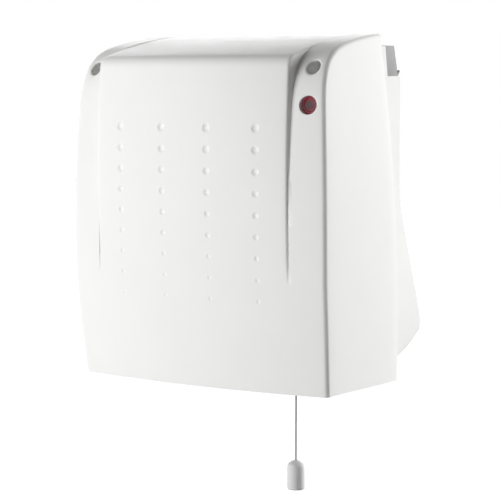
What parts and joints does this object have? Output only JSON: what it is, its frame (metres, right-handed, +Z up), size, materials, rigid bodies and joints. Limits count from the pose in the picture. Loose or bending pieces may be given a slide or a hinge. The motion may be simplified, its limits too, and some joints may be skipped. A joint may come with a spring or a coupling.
{
  "type": "wall fan heater",
  "caption": "Wall-hung downflow fan heater with a bowed cover over a standoff casing, a hanger rail on a wall bracket, a neon and a pull-cord switch.",
  "frame": {"origin": "middle of the wall bracket's back face, on the wall", "axes": "+X along the wall towards the neon and pull cord, +Y into the wall, +Z up"},
  "size_m": [0.2512, 0.1774, 0.362],
  "materials": {
    "bronze": "oil-soaked sintered bronze",
    "casing_plastic": "fine matt moulding",
    "rubber": "matt black rubber",
    "white_plastic": "satin, lightly glossy moulding",
    "screw_steel": "zinc-plated screws",
    "zinc_steel": "zinc-plated sheet",
    "mica": "pressed mica sheet",
    "heating_alloy": "dull resistance ribbon",
    "painted_steel": "satin grey paint",
    "fan_plastic": "matt glass-filled moulding",
    "grey_plastic": "matt moulding",
    "shaft_steel": "ground bright steel",
    "cast_alloy": "die-cast",
    "enamelled_copper": "enamelled copper winding",
    "core_steel": "dark laminated electrical steel",
    "black_insulation": "black wire insulation",
    "lamp_glass": "clear glass with an orange glow electrode",
    "neon_red": "polished translucent red",
    "cord_white": "braided white cord",
    "knob_plastic": "glossy moulding",
    "switch_plastic": "matt moulding",
    "lever_plastic": "matt moulding",
    "green_insulation": "green wire insulation",
    "brown_insulation": "brown wire insulation",
    "blue_insulation": "blue wire insulation"
  },
  "bodies": {
    "casing": {"axle_bush": "bronze", "back_casing": "casing_plastic", "bush_mount": "rubber", "cable_grommet": "rubber", "cord_eyelet": "white_plastic", "cover_screw_left": "screw_steel", "cover_screw_right": "screw_steel", "cutoff_guide": "zinc_steel", "element_card_front": "mica", "element_card_rear": "mica", "element_ribbon_1": "heating_alloy", "element_ribbon_2": "heating_alloy", "element_ribbon_3": "heating_alloy", "fan_plate_left": "zinc_steel", "fan_plate_right": "zinc_steel", "fan_screw_left_1": "screw_steel", "fan_screw_left_2": "screw_steel", "fan_screw_right_1": "screw_steel", "fan_screw_right_2": "screw_steel", "front_cover": "white_plastic", "hanger_rail": "painted_steel", "hanger_screw_left": "screw_steel", "hanger_screw_right": "screw_steel", "inlet_grille": "grey_plastic", "lever_pin": "shaft_steel", "lever_spring": "shaft_steel", "motor_bracket_inner": "cast_alloy", "motor_bracket_outer": "cast_alloy", "motor_coil": "enamelled_copper", "motor_core": "core_steel", "motor_screw_front": "screw_steel", "motor_screw_rear": "screw_steel", "neon_holder": "black_insulation", "neon_lamp": "lamp_glass", "neon_lens": "neon_red", "outlet_grille": "casing_plastic", "pull_switch_body": "switch_plastic", "scroll_guide": "zinc_steel", "switch_screw_1": "screw_steel", "switch_screw_2": "screw_steel", "terminal_block": "switch_plastic", "terminal_screw_1": "screw_steel", "terminal_screw_2": "screw_steel", "terminal_screw_3": "screw_steel", "thermal_cutout": "switch_plastic", "wall_bracket": "zinc_steel", "wire_cutout": "black_insulation", "wire_earth": "green_insulation", "wire_live": "brown_insulation", "wire_motor": "brown_insulation", "wire_neon": "black_insulation", "wire_neutral": "blue_insulation"},
    "impeller_shaft": {"impeller": "fan_plastic", "stub_axle": "shaft_steel", "motor_shaft": "shaft_steel", "rotor": "core_steel"},
    "cord": {"pull_cord": "cord_white", "cord_ferrule": "screw_steel", "pull_knob": "knob_plastic"},
    "lever": {"switch_lever": "lever_plastic"}
  },
  "joints": [
    {"name": "impeller_spin", "type": "hinge", "parent": "casing", "child": "impeller_shaft", "pos_m": [0, -0.092, -0.1164], "axis": [1, 0, 0], "continuous": true},
    {"name": "cord_pull", "type": "slide", "parent": "casing", "child": "cord", "axis": [0, 0, -1], "range_m": [0, 0.008], "stiffness_N_per_m": 600},
    {"name": "lever_swing", "type": "hinge", "parent": "casing", "child": "lever", "pos_m": [0.0818, -0.11868, -0.1914], "axis": [1, 0, 0], "range_deg": [0, 24]}
  ],
  "couplings": [
    {"joint": "lever_swing", "follows": "cord_pull", "rad_per_m": 52.36}
  ]
}
